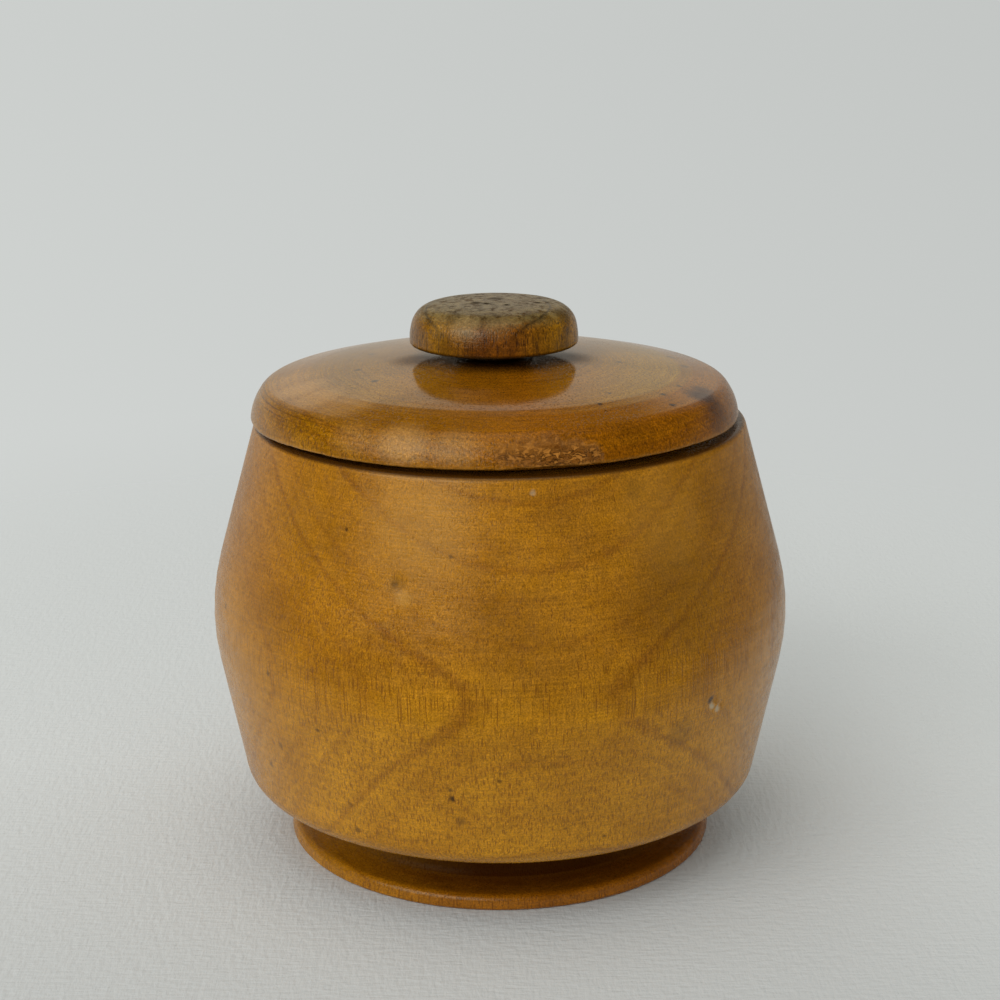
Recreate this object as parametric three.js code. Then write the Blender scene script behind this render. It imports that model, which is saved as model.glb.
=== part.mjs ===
// Turned wooden jar with a lift-off lid and a mushroom knob.
// Millimetres, +Z up. The origin is the middle of the foot's underside, on the surface that the jar stands on.
// All three pieces are turned, so each one is an outline swept round its own upright axis.
import * as THREE from 'three';

// Jar: outside
const jarHeight = 90.1;
const bellyRadius = 60;
const bellyHeight = 49.6;
const bellyRound = 44;
const lowerTaperDegrees = 11.2;
const upperTaperDegrees = 15.7;
const heelRadius = 51.5;
const heelHeight = 13.6;
const heelRound = 5;
const undersideSlopeDegrees = 24;

// Jar: foot
const footRadius = 45.15;
const footEdgeHeight = 3.1;
const footEdgeLean = 0.35;
const footLipRound = 1.1;
const coveRadius = 4.6;
const footNeckRadius = 38.4;
const footRingWidth = 7.4;
const footRecessDepth = 1.8;

// Jar: inside
const wallThickness = 7;
const floorHeight = 13;
const floorRound = 12;
const rimWidth = 8.8;
const mouthDepth = 9;
const mouthShoulderDrop = 4;

// Lid
const lidInset = 0.2;
const lidLowerRound = 0.5;
const lidBandHeight = 3.2;
const lidBandLean = 0.55;
const lidEdgeHeight = 6.75;
const lidEdgeLean = 2.85;
const lidEdgeRound = 3;
const lidBandRound = 10;
const lidShoulderWidth = 12.15;
const lidShoulderRise = 2.2;
const lidDomeRise = 3;
const spigotDepth = 5;
const dishDepth = 3;
const dishRimWidth = 5;

// Knob
const knobRadius = 17.3;
const knobUnderside = 2.1;
const knobWidestHeight = 4.3;
const knobSideRound = 12;
const knobShoulderHeight = 9.4;
const knobShoulderLean = 0.95;
const knobShoulderRound = 3;
const knobCrownRadius = 10.5;
const knobCrownHeight = 10.5;
const knobCrownRound = 30;
const knobHeight = 10.8;
const knobNeckRadius = 8;
const knobNeckRound = 1.4;
const tenonRadius = 5.5;
const tenonLength = 8;

// Fits
const seatGap = 0.3;
const glueGap = 0.3;
const lidPlay = 1.4;
const lidSideGap = 0.3;
const lidLeanHeight = 0.8;

// Small softened edges, and how far a chord may lie inside the curve that it stands for
const softEdge = 0.8;
const chordError = 0.08;
const domeSteps = 5;
const samePoint = 0.001;

const lowerTaper = THREE.MathUtils.degToRad(lowerTaperDegrees);
const upperTaper = THREE.MathUtils.degToRad(upperTaperDegrees);
const undersideSlope = THREE.MathUtils.degToRad(undersideSlopeDegrees);

// The belly is an arc between two straight tapers that are tangent to it. A depth under the surface
// gives the same lines for the inside of the wall.
const bellyCentreRadius = bellyRadius - bellyRound;

function lowerSide(z, depth = 0) {
  const reach = bellyRound - depth + (z - bellyHeight) * Math.sin(lowerTaper);
  return bellyCentreRadius + reach / Math.cos(lowerTaper);
}

function upperSide(z, depth = 0) {
  const reach = bellyRound - depth - (z - bellyHeight) * Math.sin(upperTaper);
  return bellyCentreRadius + reach / Math.cos(upperTaper);
}

// Corner where the two tapers would meet without the arc
function bellyCorner(depth = 0) {
  const spread = 1 / Math.cos(upperTaper) - 1 / Math.cos(lowerTaper);
  const rise = (bellyRound - depth) * spread / (Math.tan(lowerTaper) + Math.tan(upperTaper));
  const z = bellyHeight + rise;
  return corner(lowerSide(z, depth), z, bellyRound - depth);
}

// Height of the belly's sloping underside at a radius
function undersideHeight(r) {
  return heelHeight + (r - heelRadius) * Math.tan(undersideSlope);
}

// Corner where the underside meets the lower taper
function heelCorner() {
  const slope = Math.tan(undersideSlope);
  const taper = Math.tan(lowerTaper);
  const r = (lowerSide(0) + (heelHeight - heelRadius * slope) * taper) / (1 - slope * taper);
  return corner(r, undersideHeight(r), heelRound);
}

const rimRadius = upperSide(jarHeight);
const mouthRadius = rimRadius - rimWidth;
const lidRadius = rimRadius - lidInset;
const spigotRadius = mouthRadius - lidPlay;
const mortiseRadius = tenonRadius + glueGap;
const lidTopRadius = lidRadius - lidShoulderWidth;
const lidShoulderHeight = lidEdgeHeight + lidShoulderRise;

function corner(r, z, round = 0) {
  return { r, z, round };
}

// Angle of one chord of an arc
function chordAngle(radius) {
  return 2 * Math.acos(Math.max(1 - chordError / radius, 0));
}

// Replaces each corner that has a rounding by an arc tangent to both of its sides. Roundings that
// would meet on a side are drawn in by the same factor, and a point that two of them share is kept once.
function roundedOutline(corners) {
  const places = corners.map(({ r, z }) => new THREE.Vector2(r, z));
  const sides = corners.map(({ round }, i) => {
    if (round === 0) return { reach: 0 };
    const back = places[i - 1].clone().sub(places[i]).normalize();
    const ahead = places[i + 1].clone().sub(places[i]).normalize();
    const halfAngle = Math.acos(back.dot(ahead)) / 2;
    return { back, ahead, halfAngle, reach: round / Math.tan(halfAngle) };
  });
  const share = (i, j) => Math.min(1, places[i].distanceTo(places[j]) / (sides[i].reach + sides[j].reach));
  return corners.flatMap(({ round }, i) => {
    const here = places[i];
    if (round === 0) return [here];
    const { back, ahead, halfAngle } = sides[i];
    const reach = sides[i].reach * Math.min(share(i, i - 1), share(i, i + 1));
    const radius = reach * Math.tan(halfAngle);
    const start = here.clone().addScaledVector(back, reach);
    const middle = back.clone().add(ahead).normalize();
    const centre = here.clone().addScaledVector(middle, radius / Math.sin(halfAngle));
    const turn = (Math.PI - 2 * halfAngle) * Math.sign(ahead.cross(back));
    const steps = Math.ceil(Math.abs(turn) / chordAngle(radius));
    return Array.from({ length: steps + 1 }, (_, k) => start.clone().rotateAround(centre, turn * k / steps));
  }).filter((point, i, all) => i === 0 || point.distanceTo(all[i - 1]) > samePoint);
}

// Shallow dome over a radius: its height above its edge falls off with the square of the radius
function domeHeight(r, edgeRadius, rise) {
  return rise * (1 - (r / edgeRadius) ** 2);
}

// Points of a dome from one radius to another
function domePoints(fromRadius, toRadius, edgeRadius, rise, edgeHeight) {
  return Array.from({ length: domeSteps }, (_, k) => {
    const r = THREE.MathUtils.lerp(fromRadius, toRadius, k / domeSteps);
    return corner(r, edgeHeight + domeHeight(r, edgeRadius, rise));
  });
}

// Sweeps an outline, which starts and ends on the axis, round the Z axis. Steps come in fours, so
// that the piece reaches its full radius along both X and Y.
function turned(name, corners, material) {
  const outline = roundedOutline(corners);
  const widest = Math.max(...outline.map((point) => point.x));
  const quarterSteps = Math.ceil(Math.PI / (2 * chordAngle(widest)));
  const geometry = new THREE.LatheGeometry(outline, 4 * quarterSteps);
  geometry.rotateX(Math.PI / 2);
  const mesh = new THREE.Mesh(geometry, material);
  mesh.name = name;
  return mesh;
}

function makeJarBody() {
  const recessRadius = footRadius - footRingWidth;
  const lipRadius = footRadius - footEdgeLean;
  const mouthFloor = jarHeight - mouthDepth;
  const shoulderFoot = mouthFloor - mouthShoulderDrop;
  return turned('jar_body', [
    // Underside of the foot: a shallow recess inside a standing ring
    corner(0, footRecessDepth),
    corner(recessRadius, footRecessDepth, softEdge),
    corner(recessRadius, 0, softEdge),
    corner(footRadius, 0, softEdge),
    // Foot lip, then the cove that undercuts the belly
    corner(lipRadius, footEdgeHeight, footLipRound),
    corner(footNeckRadius, footEdgeHeight, coveRadius),
    corner(footNeckRadius, undersideHeight(footNeckRadius), softEdge),
    // Underside, heel, belly and rim
    heelCorner(),
    bellyCorner(),
    corner(rimRadius, jarHeight, softEdge),
    corner(mouthRadius, jarHeight, softEdge),
    // Straight mouth for the lid's spigot, then the hollow at an even wall
    corner(mouthRadius, mouthFloor, softEdge),
    corner(upperSide(shoulderFoot, wallThickness), shoulderFoot, mouthShoulderDrop),
    bellyCorner(wallThickness),
    corner(lowerSide(floorHeight, wallThickness), floorHeight, floorRound),
    corner(0, floorHeight),
  ], new THREE.MeshStandardMaterial({ color: 0xa06f2a, roughness: 0.38, metalness: 0 }));
}

// The lid's own zero height is its seat, the flat ring that rests on the rim
function makeLid() {
  const dishRadius = spigotRadius - dishRimWidth;
  const mortiseFloor = lidTopHeight(0) - tenonLength;
  return turned('lid', [
    // Dished underside and the spigot that drops into the mouth
    ...domePoints(0, dishRadius, dishRadius, dishDepth, -spigotDepth),
    corner(dishRadius, -spigotDepth, softEdge),
    corner(spigotRadius, -spigotDepth, softEdge),
    corner(spigotRadius, 0),
    // Seat, leaning edge band, shoulder and domed top
    corner(lidRadius, 0, lidLowerRound),
    corner(lidRadius - lidBandLean, lidBandHeight, lidBandRound),
    corner(lidRadius - lidEdgeLean, lidEdgeHeight, lidEdgeRound),
    ...domePoints(lidTopRadius, mortiseRadius, lidTopRadius, lidDomeRise, lidShoulderHeight),
    // Blind mortise for the knob's tenon
    corner(mortiseRadius, lidTopHeight(mortiseRadius)),
    corner(mortiseRadius, mortiseFloor),
    corner(0, mortiseFloor),
  ], new THREE.MeshStandardMaterial({ color: 0x9b6b28, roughness: 0.3, metalness: 0 }));
}

function lidTopHeight(r) {
  return lidShoulderHeight + domeHeight(r, lidTopRadius, lidDomeRise);
}

// The knob's own zero height is the foot of its neck, which stands on the lid
function makeKnob() {
  return turned('knob', [
    // Tenon and neck
    corner(0, glueGap - tenonLength),
    corner(tenonRadius, glueGap - tenonLength, softEdge),
    corner(tenonRadius, 0),
    corner(knobNeckRadius, 0),
    corner(knobNeckRadius, knobUnderside, knobNeckRound),
    // Head: undercut, bulging side, rounded shoulder and a nearly flat crown
    corner(knobRadius, knobUnderside, softEdge),
    corner(knobRadius, knobWidestHeight, knobSideRound),
    corner(knobRadius - knobShoulderLean, knobShoulderHeight, knobShoulderRound),
    corner(knobCrownRadius, knobCrownHeight, knobCrownRound),
    corner(0, knobHeight),
  ], new THREE.MeshStandardMaterial({ color: 0x7a5622, roughness: 0.45, metalness: 0 }));
}

// The loose lid lies against one side of the mouth, and that side of it is the lower one
const lean = Math.asin(lidLeanHeight / (2 * lidRadius));
const lidShift = lidPlay - lidSideGap;

const knob = makeKnob();
knob.position.z = lidTopHeight(mortiseRadius) + seatGap;

const lidOnSeat = new THREE.Group();
lidOnSeat.add(makeLid(), knob);
lidOnSeat.position.x = rimRadius - lidShift;

const lidSeat = new THREE.Group();
lidSeat.add(lidOnSeat);
lidSeat.position.set(-rimRadius, 0, jarHeight + seatGap);
lidSeat.rotation.y = -lean;

const group = new THREE.Group();
group.add(makeJarBody(), lidSeat);

export default group;
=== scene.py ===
# %% [markdown]
# # A turned wooden jar with a lid
# This lesson dresses a small lidded jar of honey-coloured hardwood. The measured model gives the exact
# sizes and the moving lid. Here each of its three pieces is made again as a finer surface with the marks
# that hands, tools and years have left, and gets a wood that is grown inside it, ring by ring.

# %% Load the measured model
import math

import bpy
import numpy as np
from mathutils import Matrix, Vector, noise


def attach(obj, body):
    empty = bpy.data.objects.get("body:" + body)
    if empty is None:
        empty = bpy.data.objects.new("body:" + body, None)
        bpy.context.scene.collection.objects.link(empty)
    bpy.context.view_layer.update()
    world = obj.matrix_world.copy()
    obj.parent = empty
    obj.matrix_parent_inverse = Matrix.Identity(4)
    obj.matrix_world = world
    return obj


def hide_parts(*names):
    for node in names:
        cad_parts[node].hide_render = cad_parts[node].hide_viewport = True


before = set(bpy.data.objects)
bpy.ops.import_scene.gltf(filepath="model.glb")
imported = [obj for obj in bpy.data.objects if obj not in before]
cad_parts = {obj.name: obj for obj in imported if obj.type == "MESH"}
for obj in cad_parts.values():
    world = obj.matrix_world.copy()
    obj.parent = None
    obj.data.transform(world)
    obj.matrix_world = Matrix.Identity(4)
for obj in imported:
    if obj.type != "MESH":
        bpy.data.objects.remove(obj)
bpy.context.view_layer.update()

MM = 0.001

# %% [markdown]
# ## Camera
# The camera stands a little above the jar and looks down on it by 16 degrees, with a long lens, so that
# the lid shows as a narrow ellipse and the sides hardly converge.

# %% Camera
camera = bpy.data.objects.new("camera", bpy.data.cameras.new("long lens"))
camera.data.lens = 72.4
camera.data.sensor_width = 36
camera.data.clip_start = 0.01
camera.location = (0, -0.4044, 0.1864)
camera.rotation_euler = (math.radians(90 - 15.85), 0, 0)
bpy.context.scene.collection.objects.link(camera)
bpy.context.scene.camera = camera
bpy.context.scene.view_settings.view_transform = "Standard"
print("camera at", tuple(camera.location))

# %% [markdown]
# ## A turned form
# Work off a lathe is a flat outline swept round an axis. The outline is written as a few corners, each
# with the size of its rounding, because that is how a turner sees it: a straight run, then a softened
# edge. Roundings become arcs that meet both sides smoothly.

# %% Outline from rounded corners
def rounded(corners, turn_step=math.radians(6)):
    """Outline points in mm. Each (radius, height, rounding) corner becomes an arc tangent to its sides."""
    places = [np.array(corner[:2], dtype=float) for corner in corners]
    reaches = [0.0] * len(corners)
    for i in range(1, len(corners) - 1):
        back, ahead = places[i - 1] - places[i], places[i + 1] - places[i]
        cosine = back @ ahead / np.linalg.norm(back) / np.linalg.norm(ahead)
        reaches[i] = corners[i][2] / math.tan(math.acos(cosine) / 2)
    points = []
    for i, here in enumerate(places):
        if reaches[i] == 0:
            points.append(here)
            continue
        back, ahead = places[i - 1] - here, places[i + 1] - here
        room = min(1, *(np.linalg.norm(run) / (reaches[i] + reaches[j])
                        for run, j in ((back, i - 1), (ahead, i + 1))))
        back, ahead = back / np.linalg.norm(back), ahead / np.linalg.norm(ahead)
        half = math.acos(back @ ahead) / 2
        reach = reaches[i] * room
        middle = (back + ahead) / np.linalg.norm(back + ahead)
        centre = here + middle * reach / math.cos(half)
        start, end = here + back * reach - centre, here + ahead * reach - centre
        swing = math.pi - 2 * half
        steps = max(2, math.ceil(swing / turn_step))
        for k in range(steps + 1):
            share = k / steps
            mix = math.sin((1 - share) * swing), math.sin(share * swing)
            points.append(centre + (start * mix[0] + end * mix[1]) / math.sin(swing))
    return np.array(points)


def spaced(points, step):
    """The same outline with no run longer than step, and with doubled points left out."""
    result = [points[0]]
    for a, b in zip(points, points[1:]):
        length = np.linalg.norm(b - a)
        if length < 1e-3:
            continue
        count = math.ceil(length / step)
        result += [a + (b - a) * k / count for k in range(1, count + 1)]
    return np.array(result)

# %% [markdown]
# The sweep is finer where there is something to see, such as a chipped edge, and coarser round the back
# of the piece. Azimuth 0 faces the camera and grows to the right. A carving function may then
# move each point in or out, and up or down.

# %% Sweep an outline round the axis
def azimuths(coarse, *windows):
    """Angles in degrees all the way round, stepped by coarse, and by a finer step inside the windows."""
    angles, at = [], -180.0
    while at < 180 - 1e-6:
        angles.append(at)
        fine = [step for low, high, step in windows if low <= at < high]
        at += min(fine + [coarse])
    return np.array(angles)


def turned(name, outline, angles, carve=None):
    """A closed surface of revolution. The outline starts and ends on the axis."""
    az = np.radians(angles)[None, :]
    r = outline[:, :1] + 0 * az
    z = outline[:, 1:] + 0 * az
    if carve:
        dr, dz = carve(angles[None, :] + 0 * r, r, z)
        r, z = r + dr, z + dz
    ring = np.stack([r * np.sin(az), -r * np.cos(az), z], axis=-1)[1:-1]
    rows, columns = ring.shape[:2]
    ends = [(0, 0, z[0, 0]), (0, 0, z[-1, 0])]
    points = np.vstack([ring.reshape(-1, 3), ends]) * MM
    index = np.arange(rows * columns).reshape(rows, columns)
    beside = np.roll(index, -1, axis=1)
    quads = np.stack([index[:-1], beside[:-1], beside[1:], index[1:]], axis=-1).reshape(-1, 4)
    bottom, top = rows * columns, rows * columns + 1
    fans = [(bottom, b, a) for a, b in zip(index[0], beside[0])]
    fans += [(top, a, b) for a, b in zip(index[-1], beside[-1])]
    mesh = bpy.data.meshes.new(name)
    mesh.from_pydata(points.tolist(), [], quads.tolist() + [[int(v) for v in fan] for fan in fans])
    mesh.shade_smooth()
    mesh.set_sharp_from_angle(angle=math.radians(50))
    piece = bpy.data.objects.new(name, mesh)
    bpy.context.scene.collection.objects.link(piece)
    print(name, "has", len(mesh.vertices), "points and", len(mesh.polygons), "faces")
    return piece


def bumps(az, r, z, size, seed):
    """Soft unevenness between -1 and 1 with bumps of that size in mm, at each point of a sweep."""
    a = np.radians(az)
    places = np.stack([r * np.sin(a), -r * np.cos(a), z], axis=-1).reshape(-1, 3) / size + seed * 7.3
    return np.array([noise.noise(place) for place in places]).reshape(az.shape)


def near(az, r, z, at_az, at_z, wide, high):
    """1 at a place on the surface, fading smoothly to 0 over the half sizes wide and high, in mm."""
    across = np.radians((az - at_az + 180) % 360 - 180) * r / wide
    up = (z - at_z) / high
    return np.clip(1 - across ** 2 - up ** 2, 0, 1) ** 2

# %% [markdown]
# ## The jar
# The body is one piece of wood: a belly between two straight tapers, an undercut cove, and a thin foot
# ring. Its hollow follows the belly at an even wall. The foot's underside is recessed so that it stands
# on a ring and doesn't rock.

# %% Sizes of the jar, in mm
JAR_HEIGHT = 90.1
BELLY_RADIUS, BELLY_HEIGHT, BELLY_ROUND = 60, 49.6, 44
LOWER_TAPER, UPPER_TAPER = math.radians(11.2), math.radians(15.7)
UNDERSIDE_SLOPE = math.radians(24)
HEEL = (51.5, 13.6)  # radius and height of a point on the underside
WALL = 7
MOUTH_RADIUS = 41.52
MOUTH_END, HOLLOW_TOP, FLOOR = 81.1, 77.1, 13
RIM_RADIUS = 50.32
FOOT_RADIUS, FOOT_HEIGHT, COVE_RADIUS = 45.15, 3.1, 38.4
RECESS_RADIUS, RECESS_HEIGHT = 37.75, 1.8
VARNISH_END = 85


def side(z, taper, up, depth=0):
    """Radius of a straight taper, tangent to the belly's arc, at a height."""
    reach = BELLY_ROUND - depth + (BELLY_HEIGHT - z) * math.sin(taper) * up
    return BELLY_RADIUS - BELLY_ROUND + reach / math.cos(taper)


def belly(depth=0):
    """The corner where the two tapers would meet, rounded to the belly."""
    spread = 1 / math.cos(UPPER_TAPER) - 1 / math.cos(LOWER_TAPER)
    rise = (BELLY_ROUND - depth) * spread / (math.tan(LOWER_TAPER) + math.tan(UPPER_TAPER))
    z = BELLY_HEIGHT + rise
    return side(z, LOWER_TAPER, -1, depth), z, BELLY_ROUND - depth


def underside(r):
    """Height of the belly's sloping underside at a radius."""
    return HEEL[1] + (r - HEEL[0]) * math.tan(UNDERSIDE_SLOPE)


heel_radius = (side(0, LOWER_TAPER, -1) + (HEEL[1] - HEEL[0] * math.tan(UNDERSIDE_SLOPE))
               * math.tan(LOWER_TAPER)) / (1 - math.tan(UNDERSIDE_SLOPE) * math.tan(LOWER_TAPER))
jar_outside = [
    (0, RECESS_HEIGHT, 0), (RECESS_RADIUS, RECESS_HEIGHT, 0.8), (RECESS_RADIUS, 0, 0.8),
    (FOOT_RADIUS, 0, 0.8), (FOOT_RADIUS - 0.35, FOOT_HEIGHT, 1.5), (COVE_RADIUS, FOOT_HEIGHT, 4.6),
    (COVE_RADIUS, underside(COVE_RADIUS), 0.8), (heel_radius, underside(heel_radius), 5), belly(),
    (RIM_RADIUS, JAR_HEIGHT, 1.5), (MOUTH_RADIUS, JAR_HEIGHT, 0.8), (MOUTH_RADIUS, VARNISH_END, 0),
]
jar_inside = [
    (MOUTH_RADIUS, VARNISH_END, 0), (MOUTH_RADIUS, MOUTH_END, 0.8),
    (side(HOLLOW_TOP, UPPER_TAPER, 1, WALL), HOLLOW_TOP, 4), belly(WALL),
    (side(FLOOR, LOWER_TAPER, -1, WALL), FLOOR, 12), (0, FLOOR, 0),
]
print("heel corner at radius", round(heel_radius, 2), "height", round(underside(heel_radius), 2))

# %% [markdown]
# Hand turning leaves the surface very slightly uneven, and use has left dents: a little knot that has
# sunk, a nick on the right where something hit the jar, and a pit low on the belly.

# %% The jar's surface
KNOT = (-19.5, 70.0)
NICK = (43.6, 43.4)
PIT = (-9.3, 29.3)
DENTS = [(*KNOT, 2.0, 2.4, 0.18), (KNOT[0] + 2.6, KNOT[1] - 2.6, 3.2, 2.4, -0.05), (*NICK, 1.6, 1.3, 0.45),
         (NICK[0] + 2.2, NICK[1] - 1.5, 1.4, 0.9, 0.30), (*PIT, 0.7, 0.9, 0.50)]


def carve_jar(az, r, z):
    """Moves the outside only. A dent is an azimuth, a height, two half sizes and a depth."""
    outer = (r > 53.2) | ((r > 46) & (z > 77)) | (z < 12)
    dr = 0.05 * (bumps(az, r, z, 14, 1) - 1) * outer
    for *spot, depth in DENTS:
        dr -= depth * near(az, r, z, *spot) * outer
    return dr, 0 * z


jar_varnished = spaced(rounded(jar_outside), 1.1)
jar_outline = np.vstack([jar_varnished, spaced(rounded(jar_inside), 4)[1:]])
jar_angles = azimuths(2.5, (-75, 75, 1.25), (-24, -15, 0.6), (-12, -7, 0.5), (40, 50, 0.5))
jar = turned("jar", jar_outline, jar_angles, carve_jar)

# %% [markdown]
# ## The lid
# The lid is a disc with a slightly domed top, a rounded shoulder and an edge band that leans inwards.
# A shallow spigot under it drops into the mouth. It lies loose, pushed to the left nearly against the
# mouth, with its right side a little higher, so it is made upright in its own place and then set down.

# %% Sizes of the lid, in mm above its seat
LID_RADIUS = 50.12
SHOULDER_RADIUS, SHOULDER_HEIGHT, DOME_RISE = 37.97, 8.95, 3
SPIGOT_RADIUS, SPIGOT_DEPTH = 40.12, 5
DISH_RADIUS, DISH_DEPTH = 35.12, 3
LID_BARE_TO = -2
BAND_HEIGHT, EDGE_HEIGHT = 3.2, 6.75
MORTISE_RADIUS, MORTISE_FLOOR = 5.8, 3.95


def dome(r):
    """Height of the lid's top at a radius."""
    return SHOULDER_HEIGHT + DOME_RISE * (1 - (r / SHOULDER_RADIUS) ** 2)


lid_below = [(r, DISH_DEPTH * (1 - (r / DISH_RADIUS) ** 2) - SPIGOT_DEPTH, 0)
             for r in np.linspace(0, DISH_RADIUS, 14)]
lid_below += [(SPIGOT_RADIUS, -SPIGOT_DEPTH, 0.8), (SPIGOT_RADIUS, LID_BARE_TO, 0)]
lid_edge = [
    (SPIGOT_RADIUS, LID_BARE_TO, 0), (SPIGOT_RADIUS, 0, 0), (LID_RADIUS, 0, 0.5),
    (LID_RADIUS - 0.55, BAND_HEIGHT, 10), (LID_RADIUS - 2.85, EDGE_HEIGHT, 3.5),
    (SHOULDER_RADIUS, SHOULDER_HEIGHT, 60), (SHOULDER_RADIUS - 5, dome(SHOULDER_RADIUS - 5), 0),
]
lid_top = [(r, dome(r), 0) for r in np.linspace(SHOULDER_RADIUS - 5, MORTISE_RADIUS, 20)]
lid_top += [(MORTISE_RADIUS, MORTISE_FLOOR, 0), (0, MORTISE_FLOOR, 0)]
print("lid top at its middle:", round(dome(0), 2), "mm above the seat")

# %% [markdown]
# The band's lower edge is worn away into small waves. At the front, right of the middle, the grain was
# torn out, perhaps by a catch of the gouge or a fall: a fuzzy patch of short broken fibres, with flakes
# standing up above a bitten edge, and right of it a square chip.

# %% The lid's surface
TORN = (12.5, 3.2)
CHIP = (21.2, 24.0)
FLAKES = [(8.0, 1.7), (10.8, 1.0), (13.4, 2.2), (15.4, 1.3), (16.8, 2.7), (5.0, 2.6)]


def carve_lid(az, r, z):
    """Wears the edge band: the torn patch, its flakes, the chip, and waves and bites along the edge."""
    edge = (r > 46.5) & (z > -0.5)
    band = (r > 48) & (z > -0.1)
    front = np.clip((68 - abs(az)) / 20, 0, 1)
    torn = near(az, r, z, *TORN, 11, 4.8) * edge
    curls = 1 - abs(bumps(az, r, z * 1.8, 1.7, 3))
    rough = bumps(az, r, z, 0.7, 4)
    dr = 0.04 * (bumps(az, r, z, 9, 2) - 1) * edge
    dr -= torn * (0.75 - 0.5 * curls ** 2 - 0.2 * rough)
    for flake in FLAKES:
        dr += 0.3 * near(az, r, z, *flake, 1.3, 0.5) * edge
    chip = np.clip(np.minimum(az - CHIP[0], CHIP[1] - az) / 0.3, 0, 1) * np.clip((3.1 - z) / 0.4, 0, 1)
    dr -= 0.35 * chip * band
    lower = np.clip(1 - z / 2.2, 0, 1) * (z > -0.1) * (r > 48)
    waves = 0.5 + 0.5 * bumps(az, r, 0 * z, 1.5, 5)
    bites = np.clip(bumps(az, r, 0 * z, 2.6, 6) - 0.15, 0, 1)
    dr -= lower * front * 0.15 * waves
    dz = lower * front * (0.45 + 0.14 * waves + 0.4 * bites + 1.1 * torn)
    return dr, dz


lid_unvarnished = spaced(rounded(lid_below), 4)
lid_outline = np.vstack([lid_unvarnished, spaced(rounded(lid_edge), 0.4)[1:],
                         spaced(rounded(lid_top), 2.5)[1:]])
lid_angles = azimuths(2.5, (-66, 66, 0.8), (-2, 26, 0.35))
lid = turned("lid", lid_outline, lid_angles, carve_lid)

# %% [markdown]
# ## The knob
# The knob is a small mushroom: a short neck, a flat undercut, a bulging side and a nearly flat crown.
# A tenon below the neck is glued into the lid.

# %% The knob's outline and surface
KNOB_RADIUS, KNOB_TOP = 17.3, 10.8
NECK_RADIUS, UNDERCUT = 8, 2.1
TENON_RADIUS, TENON_END = 5.5, -7.7
knob_corners = [
    (0, TENON_END, 0), (TENON_RADIUS, TENON_END, 0.8), (TENON_RADIUS, 0, 0), (NECK_RADIUS, 0, 0),
    (NECK_RADIUS, UNDERCUT, 1.4), (KNOB_RADIUS, UNDERCUT, 0.8), (KNOB_RADIUS, 4.3, 12),
    (KNOB_RADIUS - 1.1, 9.6, 4.8), (10.5, 10.5, 30), (0, KNOB_TOP, 0),
]


def carve_knob(az, r, z):
    """Makes the head slightly uneven and nicks its lower lip."""
    head = z > 1.9
    dr = 0.07 * (bumps(az, r, z, 5, 8) - 1) * head * (r > 9)
    lip = np.clip(1 - abs(z - 2.5) / 0.9, 0, 1) * (r > 15)
    dr -= lip * 0.25 * np.clip(bumps(az, r, 0 * z, 1.2, 9), 0, 1)
    return dr, 0 * z


knob = turned("knob", spaced(rounded(knob_corners), 0.55), azimuths(2.4, (-90, 90, 1.8)), carve_knob)

# %% [markdown]
# Both now go to their places. At the left the seat stays 0.3 mm above the rim, a gap too thin to see, and
# at the right it is 0.8 mm higher, so the lid turns about a line over the rim's left edge.

# %% Set the lid and the knob down
SEAT_GAP, LID_SHIFT, LID_LIFT_RIGHT = 0.3, 1.1, 0.8
lean = math.asin(LID_LIFT_RIGHT / (2 * LID_RADIUS))
lid_seat = (Matrix.Translation(Vector((-RIM_RADIUS, 0, JAR_HEIGHT + SEAT_GAP)) * MM)
            @ Matrix.Rotation(-lean, 4, "Y")
            @ Matrix.Translation(Vector((RIM_RADIUS - LID_SHIFT, 0, 0)) * MM))
knob_seat = lid_seat @ Matrix.Translation((0, 0, (dome(MORTISE_RADIUS) + SEAT_GAP) * MM))
lid.data.transform(lid_seat)
knob.data.transform(knob_seat)
for piece, node, body, slot in ((jar, "jar_body", "jar", "jar_wood"), (lid, "lid", "lid", "lid_wood"),
                                (knob, "knob", "lid", "knob_wood")):
    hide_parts(node)
    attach(piece, body)
print("lid leans by", round(math.degrees(lean), 2), "degrees")

# %% [markdown]
# ## Materials: small helpers
# Colours are written as sRGB hex, as a paint chart gives them, and turned to the linear values that the
# renderer works in. Another helper adds any shader node with its settings and links in one line, and a
# third starts a material and puts it on its pieces.

# %% Colour and node helpers
def linear(colour):
    """sRGB hex, such as "#A0702A", as a linear colour with alpha."""
    parts = [int(colour[i:i + 2], 16) / 255 for i in (1, 3, 5)]
    return tuple(v / 12.92 if v <= 0.04045 else ((v + 0.055) / 1.055) ** 2.4 for v in parts) + (1.0,)


def add(tree, kind, inputs=None, out=0, stops=None, **settings):
    """Adds a node, sets its settings and inputs, links those that are sockets, and returns an output."""
    node = tree.nodes.new("ShaderNode" + kind)
    for name, value in settings.items():
        setattr(node, name, value)
    for name, value in (inputs or {}).items():
        if isinstance(value, bpy.types.NodeSocket):
            tree.links.new(value, node.inputs[name])
        else:
            node.inputs[name].default_value = value
    if stops:
        ramp = node.color_ramp.elements
        while len(ramp) < len(stops):
            ramp.new(1)
        for element, (position, value) in zip(ramp, stops):
            element.position = position
            element.color = value if isinstance(value, tuple) else (value, value, value, 1)
    return node.outputs[out] if node.outputs else node


def new_material(name, *pieces):
    """A material with an empty node tree, given to the pieces."""
    material = bpy.data.materials.new(name)
    material.use_nodes = True
    material.node_tree.nodes.clear()
    for piece in pieces:
        piece.data.materials.append(material)
    print("material", name, "on", [piece.name for piece in pieces])
    return material.node_tree

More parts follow.
